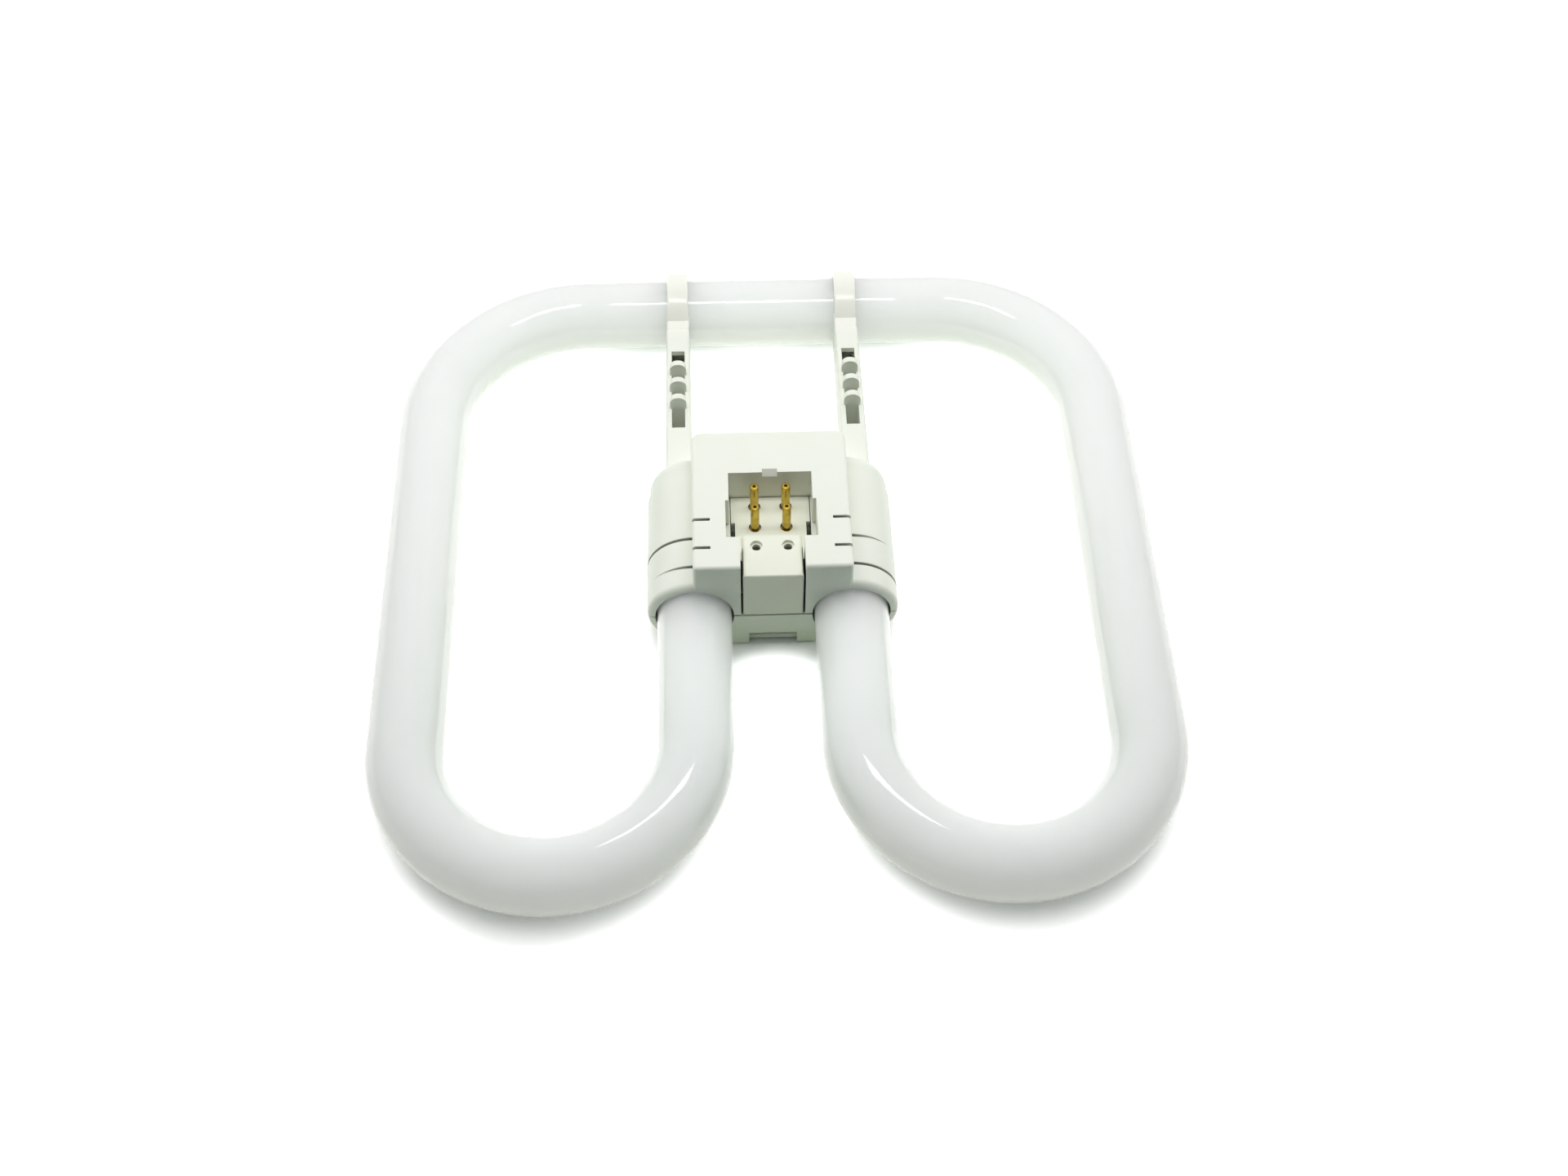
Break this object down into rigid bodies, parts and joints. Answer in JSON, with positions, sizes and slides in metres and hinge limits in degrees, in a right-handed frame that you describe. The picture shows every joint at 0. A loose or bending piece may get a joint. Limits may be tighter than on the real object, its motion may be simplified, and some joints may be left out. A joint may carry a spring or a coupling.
{
  "type": "square compact fluorescent lamp",
  "caption": "Square compact fluorescent lamp: white glass tube bent in a square loop with hairpin legs, held by clip arms on a moulded cap with contact pins in a well.",
  "frame": {"origin": "on the resting plane of the cap, under the middle of the lamp's outline", "axes": "+X across the legs to the right, +Y from the cap to the clipped bar, +Z the way the pins point"},
  "size_m": [0.205, 0.207, 0.033],
  "materials": {
    "phosphor_glass": "glossy, opaque white phosphor behind clear glass",
    "cap_plastic": "satin moulded",
    "carrier_plastic": "satin moulded",
    "pin_brass": "drawn tube, slightly worn",
    "lead_wire": "nickel-plated wire",
    "bedding": "matt silicone"
  },
  "bodies": {
    "root": {"discharge_tube": "phosphor_glass", "upper_housing": "cap_plastic", "lower_housing": "cap_plastic", "pin_carrier": "carrier_plastic", "contact_pin_front_left": "pin_brass", "contact_pin_front_right": "pin_brass", "contact_pin_rear_left": "pin_brass", "contact_pin_rear_right": "pin_brass", "lead_wire_front_left": "lead_wire", "lead_wire_front_right": "lead_wire", "lead_wire_rear_left": "lead_wire", "lead_wire_rear_right": "lead_wire", "left_tube_bedding": "bedding", "right_tube_bedding": "bedding"}
  },
  "joints": []
}
